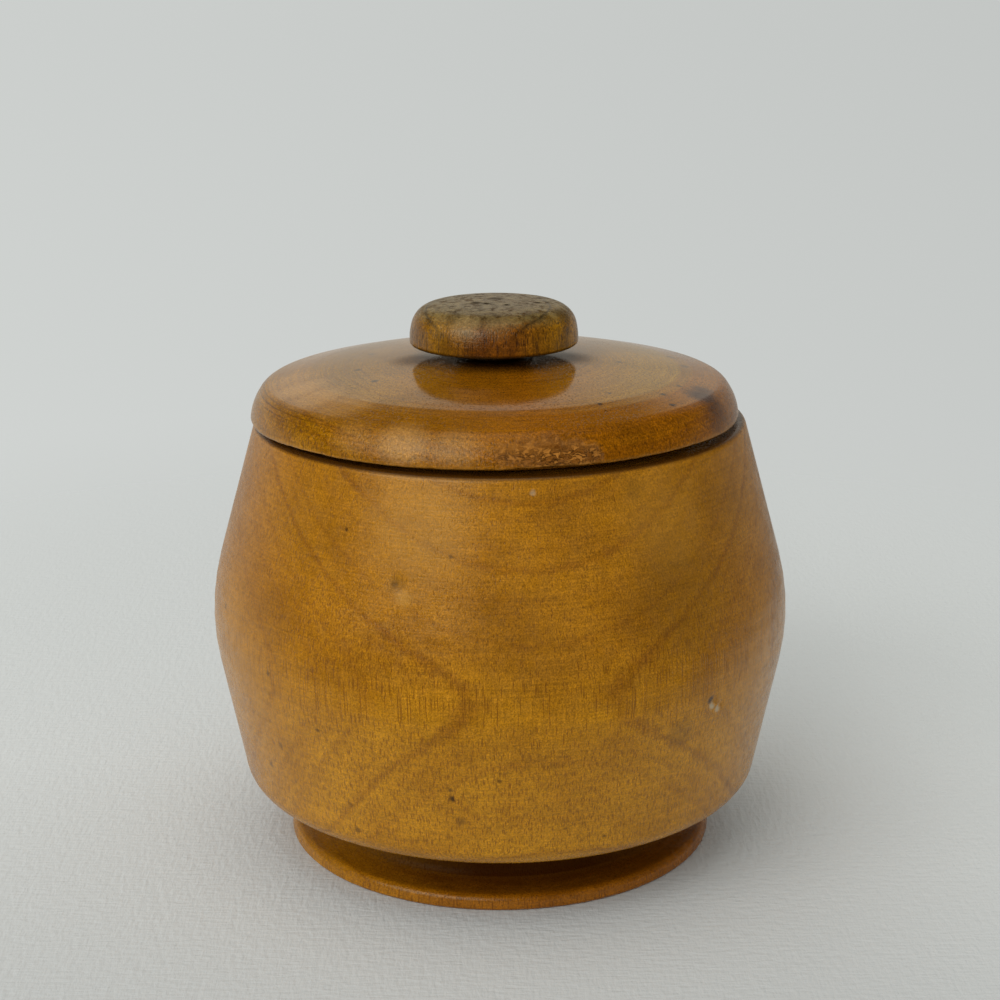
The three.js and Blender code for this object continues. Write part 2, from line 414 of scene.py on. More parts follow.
# %% [markdown]
# ## How the wood is grown
# Real grain isn't painted on: a turned form cuts through the tree. So the wood is a solid pattern. The
# pith runs nearly upright through the jar, about 9 mm in front of the axis. Rings are cylinders round it,
# and the swelling belly cuts them into a saddle, with U shapes above and arches below. Nothing of that
# has to be drawn: it comes out of distance to the pith.

# %% Growth rings
def own_place(tree, seat):
    """Place in mm in a piece's own upright frame, from where the piece was set down."""
    return add(tree, "Mapping", {"Vector": add(tree, "TexCoord", out="Object"), "Location": seat.translation,
                                 "Rotation": seat.to_euler(), "Scale": (MM, MM, MM)}, vector_type="TEXTURE")


def from_axis(tree, place):
    """Distance in mm from a piece's upright axis."""
    flat = add(tree, "VectorMath", {0: place, 1: (1, 1, 0)}, operation="MULTIPLY")
    return add(tree, "VectorMath", {0: flat}, 1, operation="LENGTH")


def from_pith(tree, place, offset, tilt, uneven):
    """Place in mm about the pith, which becomes the Z axis, and distance from it in mm."""
    soft = add(tree, "TexNoise", {"Vector": place, "Scale": 0.06, "Detail": 2.0}, "Color")
    shift = add(tree, "VectorMath", {0: soft, 1: (0.5, 0.5, 0.5)}, operation="SUBTRACT")
    moved = add(tree, "VectorMath", {0: shift, 1: (uneven, uneven, 0), 2: place}, operation="MULTIPLY_ADD")
    grown = add(tree, "Mapping", {"Vector": moved, "Location": offset, "Rotation": tilt})
    oval = add(tree, "VectorMath", {0: grown, 1: (1.028, 0.972, 0)}, operation="MULTIPLY")
    distance = add(tree, "VectorMath", {0: oval}, 1, operation="LENGTH")
    ripple = add(tree, "TexNoise", {"Vector": place, "Scale": 0.35, "Detail": 2.0})
    return grown, add(tree, "Math", {0: ripple, 1: 0.5, 2: distance}, operation="MULTIPLY_ADD")


def ring_lines(tree, distance, rings, reach=80):
    """Darkness of the growth lines: each starts sharply at its radius in mm and fades outwards.

    Reach is a distance beyond the last line."""
    stops = []
    for radius, dark, fade in rings:
        stops += [((radius - 0.08) / reach, 0.0), (radius / reach, dark), ((radius + fade) / reach, 0.0)]
    share = add(tree, "Math", {0: distance, 1: reach}, operation="DIVIDE")
    return add(tree, "ValToRGB", {"Fac": share}, stops=stops)

# %% [markdown]
# The pores are thin upright tubes, 0.2 mm wide. The tapers cut them at a slant, into dashes of a
# millimetre, and the belly runs along them and opens them into long streaks. The same tubes end as dots
# on the lid and the knob. They are drawn a little wide, the widest 0.31 to 0.36 mm, so that they show.
# They come as points scattered over a flat pattern that ignores height, which makes each of them a tube.

# %% Pores
def pore_marks(tree, grown, spacing, width, richer):
    """1 inside a pore and 0 between pores. Where richer is high, more and wider pores are open."""
    bend = add(tree, "TexNoise", {"Vector": grown, "Scale": 0.03, "Detail": 1.0}, "Color")
    off = add(tree, "VectorMath", {0: bend, 1: (3, 3, 0), 2: grown}, operation="MULTIPLY_ADD")
    nearest = add(tree, "TexVoronoi", {"Vector": off, "Scale": 1 / spacing}, "Distance",
                  voronoi_dimensions="2D")
    own = add(tree, "TexVoronoi", {"Vector": off, "Scale": 1 / spacing}, "Color", voronoi_dimensions="2D")
    own = add(tree, "SeparateColor", {0: own}, "Red")
    lengthwise = add(tree, "VectorMath", {0: grown, 1: (1.1, 1.1, 0.12)}, operation="MULTIPLY")
    presence = add(tree, "TexNoise", {"Vector": lengthwise, "Scale": 1.0, "Detail": 1.0})
    presence = add(tree, "Math", {0: own, 1: 0.24, 2: presence}, operation="MULTIPLY_ADD")
    presence = add(tree, "Math", {0: richer, 1: 0.2, 2: presence}, operation="MULTIPLY_ADD")
    size = add(tree, "MapRange", {0: presence, 1: 0.54, 2: 0.8, 3: 0.0, 4: 0.5 * width / spacing})
    inner = add(tree, "Math", {0: size, 1: 0.4}, operation="MULTIPLY")
    return add(tree, "MapRange", {0: nearest, 1: inner, 2: size, 3: 1.0, 4: 0.0})

# %% [markdown]
# Fine unevenness makes wood look like wood and not like plastic: fibres along the grain, 0.4 mm wide and
# 8 mm long, a granular fleck of a quarter of a millimetre, and faint lines that run round the axis,
# 0.4 mm wide, left by tools and sandpaper. Places are in mm, so a factor of 2.6 puts 2.6 in a millimetre.

# %% Fine texture
def fine_texture(tree, place, grown):
    """Brightness of the fine texture, about 1, and the height of its relief."""
    along = add(tree, "VectorMath", {0: grown, 1: (2.6, 2.6, 0.12)}, operation="MULTIPLY")
    fibres = add(tree, "TexNoise", {"Vector": along, "Scale": 1.0, "Detail": 3.0, "Roughness": 0.75})
    short = add(tree, "VectorMath", {0: grown, 1: (2.2, 2.2, 1.6)}, operation="MULTIPLY")
    flecks = add(tree, "TexNoise", {"Vector": short, "Scale": 1.8, "Detail": 2.0, "Roughness": 0.75})
    slow = add(tree, "Math", {0: add(tree, "SeparateXYZ", {0: place}, "X"), 1: 0.04}, operation="MULTIPLY")
    level = add(tree, "SeparateXYZ", {0: place}, "Z")
    around = add(tree, "CombineXYZ", {"X": from_axis(tree, place), "Y": level, "Z": slow})
    turning = add(tree, "TexNoise", {"Vector": around, "Scale": 2.6, "Detail": 2.0, "Roughness": 0.75})
    bright = add(tree, "MapRange", {0: fibres, 1: 0.32, 2: 0.68, 3: 0.83, 4: 1.17})
    for pattern, low, high in ((flecks, 0.6, 1.4), (turning, 0.87, 1.13)):
        more = add(tree, "MapRange", {0: pattern, 1: 0.32, 2: 0.68, 3: low, 4: high})
        bright = add(tree, "Math", {0: bright, 1: more}, operation="MULTIPLY")
    lines = add(tree, "Math", {0: turning, 1: 0.5}, operation="MULTIPLY")
    return bright, add(tree, "Math", {0: flecks, 1: 0.8, 2: lines}, operation="MULTIPLY_ADD")

# %% [markdown]
# Colour is built up as the eye reads it: soft patches of paler and deeper honey, faint bands of growth,
# thin brown growth lines, the fine texture, and last the pores, which hold old dirt.

# %% Bare wood
def bare_wood(tree, place, growth, rings, tones, shares, richer, pore_size=(0.48, 0.31)):
    """Colour of the wood under its varnish, its pores and the height of its fine relief.

    Growth is what from_pith gives. Shares are those of bands, lines and pores. Pore size is the spacing
    of the pores and their greatest width, in mm."""
    grown, distance = growth
    lines = ring_lines(tree, distance, rings)
    bands = add(tree, "TexNoise", {"W": distance, "Scale": 0.8, "Detail": 3.0, "Roughness": 0.65},
                noise_dimensions="1D")
    patches = add(tree, "TexNoise", {"Vector": place, "Scale": 0.07, "Detail": 4.0, "Roughness": 0.6})
    texture, relief = fine_texture(tree, place, grown)
    pores = pore_marks(tree, grown, *pore_size, richer)
    print("bare wood:", len(rings), "growth lines, pores", pore_size[0], "mm apart")

    pale = add(tree, "MapRange", {0: patches, 1: 0.35, 2: 0.65})
    colour = add(tree, "Mix", {0: pale, 6: tones["deep"], 7: tones["pale"]}, 2, data_type="RGBA")
    band = add(tree, "MapRange", {0: bands, 1: 0.42, 2: 0.68, 3: 0.0, 4: shares[0]})
    waver = add(tree, "TexNoise", {"Vector": place, "Scale": 0.2, "Detail": 3.0})
    waver = add(tree, "MapRange", {0: waver, 1: 0.35, 2: 0.65, 3: 0.55 * shares[1], 4: shares[1]})
    line = add(tree, "Math", {0: lines, 1: waver}, operation="MULTIPLY")
    pore = add(tree, "Math", {0: pores, 1: shares[2]}, operation="MULTIPLY")
    colour = add(tree, "Mix", {0: band, 6: colour, 7: tones["line"]}, 2, data_type="RGBA")
    colour = add(tree, "Mix", {0: line, 6: colour, 7: tones["line"]}, 2, data_type="RGBA")
    colour = add(tree, "VectorMath", {0: colour, "Scale": texture}, operation="SCALE")
    colour = add(tree, "Mix", {0: pore, 6: colour, 7: tones["pore"]}, 2, data_type="RGBA")
    return colour, pores, relief

# %% [markdown]
# Marks sit at one place each: a knot, dirt in a dent, a drop of something dark. They are listed with the
# place on the piece, their size and how strong they are. End grain soaks up varnish and looks darker, so
# the more a surface faces up or down along the fibres, the deeper its colour.

# %% Marks and end grain
def marks(tree, place, spots):
    """How strongly each place is marked. Spots are (place in mm, radius in mm, strength)."""
    ragged = add(tree, "TexNoise", {"Vector": place, "Scale": 1.2, "Detail": 2.0}, "Color")
    ragged = add(tree, "VectorMath", {0: ragged, 1: (0.5, 0.5, 0.5)}, operation="SUBTRACT")
    total = 0.0
    for centre, radius, strength in spots:
        push = min(1.2, 0.8 * radius)
        edge = add(tree, "VectorMath", {0: ragged, 1: (push, push, push), 2: place}, operation="MULTIPLY_ADD")
        away = add(tree, "VectorMath", {0: edge, 1: centre}, 1, operation="DISTANCE")
        mark = add(tree, "MapRange", {0: away, 1: radius * 0.25, 2: radius, 3: strength, 4: 0.0},
                   interpolation_type="SMOOTHSTEP")
        total = add(tree, "Math", {0: mark, 1: total}, operation="MAXIMUM")
    print(len(spots), "marks of up to", max(radius for _, radius, _ in spots), "mm")
    return total


def end_grain(tree, start, full):
    """0 where the fibres run along the surface, 1 where it cuts across them."""
    up = add(tree, "SeparateXYZ", {0: add(tree, "NewGeometry", out="Normal")}, "Z")
    steep = add(tree, "Math", {0: up}, operation="ABSOLUTE")
    return add(tree, "MapRange", {0: steep, 1: start, 2: full}, interpolation_type="SMOOTHSTEP")


def on_jar(az, z):
    """Place on the jar's outside at an azimuth in degrees and a height in mm."""
    arc = BELLY_RADIUS - BELLY_ROUND + math.sqrt(max(BELLY_ROUND ** 2 - (z - BELLY_HEIGHT) ** 2, 0))
    taper = side(z, UPPER_TAPER, 1) if z > BELLY_HEIGHT else side(z, LOWER_TAPER, -1)
    r = arc if abs(z - BELLY_HEIGHT) < 8 else taper
    a = math.radians(az)
    return r * math.sin(a), -r * math.cos(a), z

# %% [markdown]
# Varnish is a clear coat over the colour: it mirrors about 4 % of what it faces, and more at a glancing
# angle, which is what an IOR of about 1.5 does. Old varnish is amber, which warms even what it mirrors.
# Where it is worn off or dirty, the surface is dull and only scatters light.

# %% Varnish
AMBER = (1.0, 0.94, 0.7, 1.0)
RELIEF_DEPTH = 0.08 * MM


def varnish(tree, colour, gloss, height, relief, shine, worn):
    """Finishes a material. Relief is the share of RELIEF_DEPTH, shine the strength of the mirroring."""
    surface = add(tree, "Bump", {"Height": height, "Strength": relief, "Distance": RELIEF_DEPTH})
    shader = add(tree, "BsdfPrincipled", {"Base Color": colour, "Roughness": gloss, "IOR": 1.5,
                                          "Specular IOR Level": shine, "Specular Tint": AMBER,
                                          "Normal": surface})
    dull = add(tree, "BsdfDiffuse", {"Color": colour, "Normal": surface})
    add(tree, "OutputMaterial", {"Surface": add(tree, "MixShader", {0: worn, 1: shader, 2: dull})})
    print("varnished, with", len(tree.nodes), "nodes in all")

# %% [markdown]
# ## Wood of the jar
# A diffuse-porous tropical hardwood, honey to amber, turned and sanded and then given one thin coat of
# varnish that has gone satin with handling, with a roughness of 0.2 to 0.3. The eye gets warm light back
# from inside the wood, and a broad soft sheen on top. Its upper part is painted a deeper colour and its
# lower part paler: partly the wood, partly painted shade for less light from above and more from the table.

# %% Jar material: tones of the wood
JAR_PITH = {"offset": (-2.8, 9.0, 0), "tilt": (-0.0151, 0.0164, 0), "uneven": 0.3}
tree = new_material("honey hardwood under satin varnish", jar)
place = own_place(tree, Matrix.Identity(4))
growth = from_pith(tree, place, **JAR_PITH)
level = add(tree, "SeparateXYZ", {0: place}, "Z")
# Painted shade: deeper above the belly and paler below it, partly standing for the light, weaker from above
# and stronger from the table.
up = add(tree, "MapRange", {0: level, 1: 34, 2: 64}, interpolation_type="SMOOTHSTEP")
jar_tones = {"line": linear("#703A08"), "pore": linear("#74420A")}
for tone, below, above in (("deep", "#AE740C", "#9B6308"), ("pale", "#C08412", "#AE720E")):
    jar_tones[tone] = add(tree, "Mix", {0: up, 6: linear(below), 7: linear(above)}, 2, data_type="RGBA")

# %% [markdown]
# Ten growth lines are wide enough to see. Outside 49 mm from the pith the wood is rich in pores, which
# gives the long streaks at the belly, where the surface runs along the fibres. Inside it only the lower
# wood is rich. Further out the pores get fewer, and so they do towards the rim.

# %% The jar's rings and pores
JAR_RINGS = [
    (40.2, 0.7, 0.3), (43.7, 0.6, 0.25), (45.7, 0.9, 0.3), (47.3, 1.0, 0.3), (49.15, 1.0, 0.5),
    (51.8, 0.4, 0.3), (53.8, 0.4, 0.3), (56.2, 0.4, 0.4), (60.7, 0.4, 0.5), (66.0, 0.5, 0.6),
]
inner_wood = add(tree, "MapRange", {0: level, 1: 45, 2: 37, 3: 0.25, 4: 0.9})
rich = add(tree, "MapRange", {0: growth[1], 1: 48.9, 2: 49.3, 3: inner_wood, 4: 1.0})
for along, start, full, loss in (growth[1], 51.5, 57.0, 0.5), (level, 54, 70, 0.45):
    fewer = add(tree, "MapRange", {0: along, 1: start, 2: full, 3: 0.0, 4: loss})
    rich = add(tree, "Math", {0: rich, 1: fewer}, operation="SUBTRACT")
colour, pores, relief = bare_wood(tree, place, growth, JAR_RINGS, jar_tones,
                                  shares=(0.12, 0.85, 0.65), richer=rich)
outer = add(tree, "MapRange", {0: growth[1], 1: 49.5, 2: 53.5, 3: 0.0, 4: 0.12})
colour = add(tree, "Mix", {0: outer, 6: colour, 7: jar_tones["line"]}, 2, data_type="RGBA")

# %% [markdown]
# Marks are given by azimuth and height on the outside: soft brown shade, small spots of dark dirt, pale
# bare wood in the nick and in a speck under the rim, and a paler honey beside the knot and in three wide
# soft places. That paler honey is partly the wood and partly painted highlight and reflection, on the
# knot's raised lip, on the upper taper where the window shines, and along the left edge.

# %% Marks on the jar
SHADE = [((38, 66), 17, 0.4), ((-47, 60), 9, 0.16), ((36, 38.5), 4.5, 0.38), ((29, 86.5), 3, 0.4),
         ((-7.6, 24.2), 1.6, 0.5), ((-42, 78), 15, 0.18), ((-20.0, 70.2), 2.6, 0.4), ((3, 61), 17, 0.14),
         ((54, 80), 14, 0.22)]
DIRT = [((-20.4, 70.3), 1.0, 0.5), ((-9.1, 29.0), 0.95, 0.95), ((-9.3, 31.0), 0.6, 0.6),
        ((-48.5, 32.2), 1.0, 0.5), ((-46.8, 31.2), 0.6, 0.4), ((-54.3, 26.0), 1.0, 0.5),
        ((-30.3, 18.6), 1.0, 0.6), ((-31.0, 24.2), 0.8, 0.4), ((-67.5, 56.0), 0.9, 0.6),
        ((-36.2, 39.3), 0.7, 0.7), ((-48.5, 48.0), 0.9, 0.7), ((42.8, 44.0), 1.3, 1.0),
        ((21.4, 19.0), 0.6, 0.6), ((-32.3, 78.7), 0.6, 0.8), ((-9.5, 76.0), 0.6, 0.7),
        ((-0.1, 33.3), 0.6, 0.7), ((4.5, 71.0), 0.5, 0.4), ((13.0, 22.0), 0.5, 0.5)]
BARE = [((43.4, 42.6), 1.1, 0.9), ((45.2, 41.6), 1.1, 0.7), ((6.7, 87.4), 0.8, 0.35)]
# Paler honey, partly the wood and partly painted highlight: the knot's raised lip, the upper taper where the
# window shines, and the left edge.
PALE_AND_PAINTED_HIGHLIGHT = [((-18.2, 67.9), 2.4, 0.4), ((-17, 80), 14, 0.24), ((36, 80), 14, 0.22), ((-64, 50), 22, 0.2)]
for spots, tone in (SHADE, "#6A4612"), (DIRT, "#3C2206"), (BARE, "#BEB094"), (PALE_AND_PAINTED_HIGHLIGHT, "#BE8A38"):
    marked = marks(tree, place, [(on_jar(*spot), size, strength) for spot, size, strength in spots])
    colour = add(tree, "Mix", {0: marked, 6: colour, 7: linear(tone)}, 2, data_type="RGBA")

# %% [markdown]
# The cove under the belly is painted nearly black-brown towards the front and right: painted shade where
# the belly shades it, and its varnish is left dull there. The foot is a redder amber than the belly. Where
# the lid meets the rim, the corner is painted dark: partly dirt on the worn corner, partly painted shade
# under the lid.

# %% The cove, and the jar's varnish
radius = from_axis(tree, place)
aside = add(tree, "SeparateXYZ", {0: place}, "X")
smears = add(tree, "TexNoise", {"Vector": place, "Scale": 0.4, "Detail": 3.0})
uneven = add(tree, "Math", {0: smears, 1: 2.4, 2: radius}, operation="MULTIPLY_ADD")
in_cove = add(tree, "MapRange", {0: uneven, 1: 46.0, 2: 41.2, 3: 0.0, 4: 0.88})
above_foot = add(tree, "MapRange", {0: level, 1: 3.3, 2: 4.8})
in_cove = add(tree, "Math", {0: in_cove, 1: above_foot}, operation="MAXIMUM")
for low_edge, high_edge in ((13.2, 12.2), (1.6, 2.8)):
    part = add(tree, "MapRange", {0: level, 1: low_edge, 2: high_edge})
    in_cove = add(tree, "Math", {0: in_cove, 1: part}, operation="MULTIPLY")
across_front = add(tree, "MapRange", {0: aside, 1: -45, 2: 45})
# Painted shade in the cove: darkest at the front and right, lighter at the left, where the light reaches in.
shade_across_front = add(tree, "ValToRGB", {"Fac": across_front},
            stops=[(0.05, 0.3), (0.3, 0.8), (0.45, 0.96), (0.7, 0.96), (0.95, 0.65)])
cove = add(tree, "Math", {0: in_cove, 1: shade_across_front}, operation="MULTIPLY")
on_foot = add(tree, "MapRange", {0: level, 1: 6.0, 2: 4.0})
tint = add(tree, "ValToRGB", {"Fac": across_front}, stops=[(0.05, 0.15), (0.42, 0.85), (0.8, 1.0)])
on_foot = add(tree, "Math", {0: on_foot, 1: tint}, operation="MULTIPLY")
redder = add(tree, "VectorMath", {0: colour, 1: linear("#CCB084")[:3]}, operation="MULTIPLY")
colour = add(tree, "Mix", {0: on_foot, 6: colour, 7: redder}, 2, data_type="RGBA")
colour = add(tree, "Mix", {0: cove, 6: colour, 7: linear("#3A1603")}, 2, data_type="RGBA")
# The rim's corner under the lid is painted dark brown: partly dirt, partly painted shade under the lid.
worn = add(tree, "Math", {0: aside, 1: -0.004, 2: level}, operation="MULTIPLY_ADD")
inward = add(tree, "MapRange", {0: uneven, 1: 47.6, 2: 50.0, 3: 0.25, 4: 0.9})
rim_dirt_and_shade = add(tree, "MapRange", {0: worn, 1: 89.3, 2: 89.85, 3: 0.0, 4: inward})
colour = add(tree, "Mix", {0: rim_dirt_and_shade, 6: colour, 7: linear("#341804")}, 2, data_type="RGBA")

gloss = add(tree, "MapRange", {0: smears, 1: 0.3, 2: 0.7, 3: 0.2, 4: 0.32})
height = add(tree, "Math", {0: pores, 1: -0.6, 2: relief}, operation="MULTIPLY_ADD")
varnish(tree, colour, gloss, height, relief=0.5, shine=0.45, worn=cove)

# %% [markdown]
# ## Wood of the lid
# The same wood, cut so that its top is end grain, under thicker varnish that has stayed glossy. The eye
# sees the pale wall mirrored in the top as a veil, with the knob's dark mirror image in it. The colour
# below the veil is a deep amber, and at the edge band, where the fibres run along the surface, it is
# honey again.

# %% Lid material: tones of the wood
tree = new_material("hardwood under glossy varnish", lid)
place = own_place(tree, lid_seat)
growth = from_pith(tree, place, offset=(-3.0, 3.0, 0), tilt=(0.01, 0.02, 0), uneven=2.5)
aside = add(tree, "SeparateXYZ", {0: place}, "X")
right = add(tree, "MapRange", {0: aside, 1: -46, 2: 10})
lid_tones = {"line": linear("#6E3A06"), "pore": linear("#553006")}
for tone, left_tone, right_tone in (("deep", "#8A5A04", "#7A4804"), ("pale", "#A06C08", "#925604")):
    lid_tones[tone] = add(tree, "Mix", {0: right, 6: linear(left_tone), 7: linear(right_tone)}, 2,
                          data_type="RGBA")
LID_RINGS = [(15.0, 0.3, 0.7), (27.5, 0.3, 0.7), (33.0, 0.25, 0.7), (38.0, 0.5, 0.5), (41.5, 0.4, 0.4),
             (44.0, 0.6, 0.4), (46.2, 0.5, 0.3), (47.8, 0.7, 0.4), (49.4, 0.6, 0.3), (51.0, 0.6, 0.5)]
colour, pores, relief = bare_wood(tree, place, growth, LID_RINGS, lid_tones,
                                  shares=(0.35, 0.7, 0.7), richer=0.3, pore_size=(0.6, 0.36))
across = end_grain(tree, start=0.97, full=0.988)
flat_top = end_grain(tree, start=0.88, full=0.99)
# The end-grain top is deepened at the left, where it soaked up varnish, and painted paler and greyer towards
# the right, away from the knob: a painted reflection of the pale wall.
off_centre = add(tree, "MapRange", {0: add(tree, "Math", {0: aside}, operation="ABSOLUTE"), 1: 6, 2: 30})
tint = add(tree, "Mix", {0: right, 6: (0.75, 0.7, 1.4, 1), 7: (1.25, 1.9, 8.0, 1)}, 2, data_type="RGBA")
tint = add(tree, "Mix", {0: off_centre, 6: (0.92, 0.9, 1.2, 1), 7: tint}, 2, data_type="RGBA")
soaked_and_veiled = add(tree, "VectorMath", {0: colour, 1: tint}, operation="MULTIPLY")
colour = add(tree, "Mix", {0: across, 6: colour, 7: soaked_and_veiled}, 2, data_type="RGBA")

# %% [markdown]
# There is a purple-black stain near the right edge. Shoulder and band are painted paler at the front
# left, partly rubbed wood and partly a painted highlight where the window and the wall shine on them. The
# end grain has small open pits, which the varnish has levelled where the top is flat.

# %% The lid's stain, pale places with painted highlight, and pits
stain = marks(tree, place, [((41.0, -19.5, 7.6), 5.6, 0.9), ((43.8, -21.5, 5.8), 6.0, 0.65),
                            ((44.3, -24.5, 3.8), 5.5, 0.5), ((41.5, -16.0, 8.0), 3.8, 0.8)])
colour = add(tree, "Mix", {0: stain, 6: colour, 7: linear("#34180E")}, 2, data_type="RGBA")
# Paler places at the front left: partly rubbed wood, partly painted highlight.
wear_and_painted_highlight = marks(tree, place, [
    ((-27, -41.0, 5.4), 6, 0.12), ((-17, -46.0, 5.4), 7, 0.3), ((-7, -48.5, 5.0), 6, 0.15),
    ((-41, -6, 8.2), 8, 0.2), ((-38.5, -15, 8.3), 8, 0.36), ((-34.5, -22.5, 8.3), 8, 0.32),
    ((-28.5, -29.5, 8.2), 8, 0.2)])
colour = add(tree, "Mix", {0: wear_and_painted_highlight, 6: colour, 7: linear("#CE9C58")}, 2, data_type="RGBA")
pitted = add(tree, "TexNoise", {"Vector": place, "Scale": 1.7, "Detail": 3.0, "Roughness": 0.8})
grainy = add(tree, "MapRange", {0: pitted, 1: 0.32, 2: 0.68, 3: 0.62, 4: 1.38})
calmer = add(tree, "Math", {0: flat_top, 1: 0.4}, operation="MULTIPLY")
grainy = add(tree, "Mix", {0: calmer, 2: grainy, 3: 1.0})
colour = add(tree, "VectorMath", {0: colour, "Scale": grainy}, operation="SCALE")

# %% [markdown]
# Painted shade lies on both sides of the knob, dull and brown, and nearly black under it, where the knob
# shades the lid and its dark underside is mirrored.
# Fine tool lines run along the band at the left. A dozen dark specks are spread over top and shoulder.

# %% Painted shade by the knob, and the lid's dirt and tool lines
level = add(tree, "SeparateXYZ", {0: place}, "Z")
radius = from_axis(tree, place)
smears = add(tree, "TexNoise", {"Vector": place, "Scale": 0.35, "Detail": 3.0})
uneven = add(tree, "Math", {0: smears, 1: 6.0, 2: radius}, operation="MULTIPLY_ADD")
# Painted shade round the neck and beside the knob, standing for its shadow and its dark mirror image.
painted_shade_under_knob = add(tree, "MapRange", {0: uneven, 1: 15.5, 2: 11.0, 3: 0.0, 4: 0.9})
painted_shade_beside_knob = marks(tree, place, [((-15.5, -3.0, 10.8), 7.5, 0.75), ((14.5, -2.0, 10.8), 8.0, 0.75)])
colour = add(tree, "Mix", {0: painted_shade_beside_knob, 6: colour, 7: linear("#4A2E16")}, 2, data_type="RGBA")
colour = add(tree, "Mix", {0: painted_shade_under_knob, 6: colour, 7: linear("#1C0E04")}, 2, data_type="RGBA")
tool_lines = ring_lines(tree, level, [(3.9, 0.5, 0.2), (4.9, 0.8, 0.2), (5.8, 1.0, 0.2), (6.5, 0.7, 0.2)], 12)
at_left = add(tree, "MapRange", {0: aside, 1: -20, 2: -38, 3: 0.0, 4: 0.7})
tool_lines = add(tree, "Math", {0: tool_lines, 1: at_left}, operation="MULTIPLY")
colour = add(tree, "Mix", {0: tool_lines, 6: colour, 7: linear("#4A2A06")}, 2, data_type="RGBA")
dirt = marks(tree, place, [
    ((20.1, -32.6, 9.0), 0.9, 1.0), ((21.2, -35.6, 8.6), 0.8, 0.9), ((32.9, -23.2, 8.7), 1.0, 1.0),
    ((34.3, -28.1, 7.7), 1.0, 1.0), ((22.3, -26.3, 9.7), 0.8, 0.8), ((25.5, -2.8, 10.8), 1.0, 0.9),
    ((39.2, 1.8, 9.0), 1.6, 0.7), ((36.6, -16.1, 8.7), 0.9, 0.8), ((-27.5, -7.1, 10.4), 1.0, 0.9),
    ((-23.5, -17.2, 10.3), 1.1, 0.9), ((-25.6, 7.7, 10.6), 1.2, 0.9), ((37.2, 10.2, 9.1), 1.6, 0.8)])
colour = add(tree, "Mix", {0: dirt, 6: colour, 7: linear("#2E1A08")}, 2, data_type="RGBA")

# %% [markdown]
# The torn patch has lost its varnish: light brown raw fibre, and along its lower half the splits between
# the flakes are painted nearly black, as painted shade in the grooves. The lid's lower edge is rubbed a
# little paler.

# %% The torn patch, and the lid's varnish
torn = marks(tree, place, [((2.5, -49.4, 3.6), 3.6, 0.6), ((6.0, -49.0, 3.8), 4.4, 0.8),
                           ((10.5, -48.3, 3.4), 5.0, 1.0), ((15.0, -46.8, 2.6), 4.2, 1.0),
                           ((18.0, -45.7, 2.4), 3.0, 0.8)])
flattened = add(tree, "VectorMath", {0: place, 1: (0.7, 0.7, 1.3)}, operation="MULTIPLY")
curls = add(tree, "TexNoise", {"Vector": flattened, "Scale": 0.75, "Detail": 3.0, "Roughness": 0.6,
                               "Distortion": 0.8})
raw = add(tree, "ValToRGB", {"Fac": curls}, stops=[(0.35, linear("#643608")), (0.65, linear("#BC7C34"))])
# Painted shade in the splits between the flakes.
split = add(tree, "Math", {0: curls, 1: 0.5}, operation="SUBTRACT")
split = add(tree, "Math", {0: split}, operation="ABSOLUTE")
split = add(tree, "MapRange", {0: split, 1: 0.01, 2: 0.06, 3: 1.0, 4: 0.0})
low_half = add(tree, "MapRange", {0: level, 1: 4.4, 2: 3.0, 3: 0.3, 4: 1.0})
split = add(tree, "Math", {0: split, 1: low_half}, operation="MULTIPLY")
raw = add(tree, "Mix", {0: split, 6: raw, 7: linear("#2A1204")}, 2, data_type="RGBA")
torn_share = add(tree, "Math", {0: torn, 1: 0.82}, operation="MULTIPLY")
colour = add(tree, "Mix", {0: torn_share, 6: colour, 7: raw}, 2, data_type="RGBA")
uneven = add(tree, "Math", {0: smears, 1: 1.2, 2: level}, operation="MULTIPLY_ADD")
rubbed = add(tree, "MapRange", {0: uneven, 1: 1.9, 2: 1.4, 3: 0.0, 4: 0.25})
on_edge = add(tree, "MapRange", {0: radius, 1: 48.5, 2: 49.3})
rubbed = add(tree, "Math", {0: rubbed, 1: on_edge}, operation="MULTIPLY")
colour = add(tree, "Mix", {0: rubbed, 6: colour, 7: linear("#B07C34")}, 2, data_type="RGBA")

gloss = add(tree, "MapRange", {0: smears, 1: 0.3, 2: 0.7, 3: 0.07, 4: 0.13})
gloss = add(tree, "Mix", {0: torn, 2: gloss, 3: 0.7})
height = add(tree, "Math", {0: pitted, 1: 1.5, 2: relief}, operation="MULTIPLY_ADD")
filled = add(tree, "MapRange", {0: flat_top, 3: 1.5, 4: 0.1})
height = add(tree, "Math", {0: height, 1: filled}, operation="MULTIPLY")
height = add(tree, "Math", {0: pores, 1: -0.5, 2: height}, operation="MULTIPLY_ADD")
curled = add(tree, "Math", {0: split, 1: torn}, operation="MULTIPLY")
height = add(tree, "Math", {0: curled, 1: -4.0, 2: height}, operation="MULTIPLY_ADD")
matt = add(tree, "Math", {0: painted_shade_beside_knob, 1: 0.6}, operation="MULTIPLY")
matt = add(tree, "Math", {0: matt, 1: torn_share}, operation="MAXIMUM")
varnish(tree, colour, gloss, height, relief=0.5, shine=0.5, worn=matt)

# %% [markdown]
# ## Wood of the knob
# The knob is what hands touch. The same kind of wood is darker and greyer here. Its side is still golden
# under satin varnish, with dark upright streaks, and is darkest and reddest in the middle of the front.

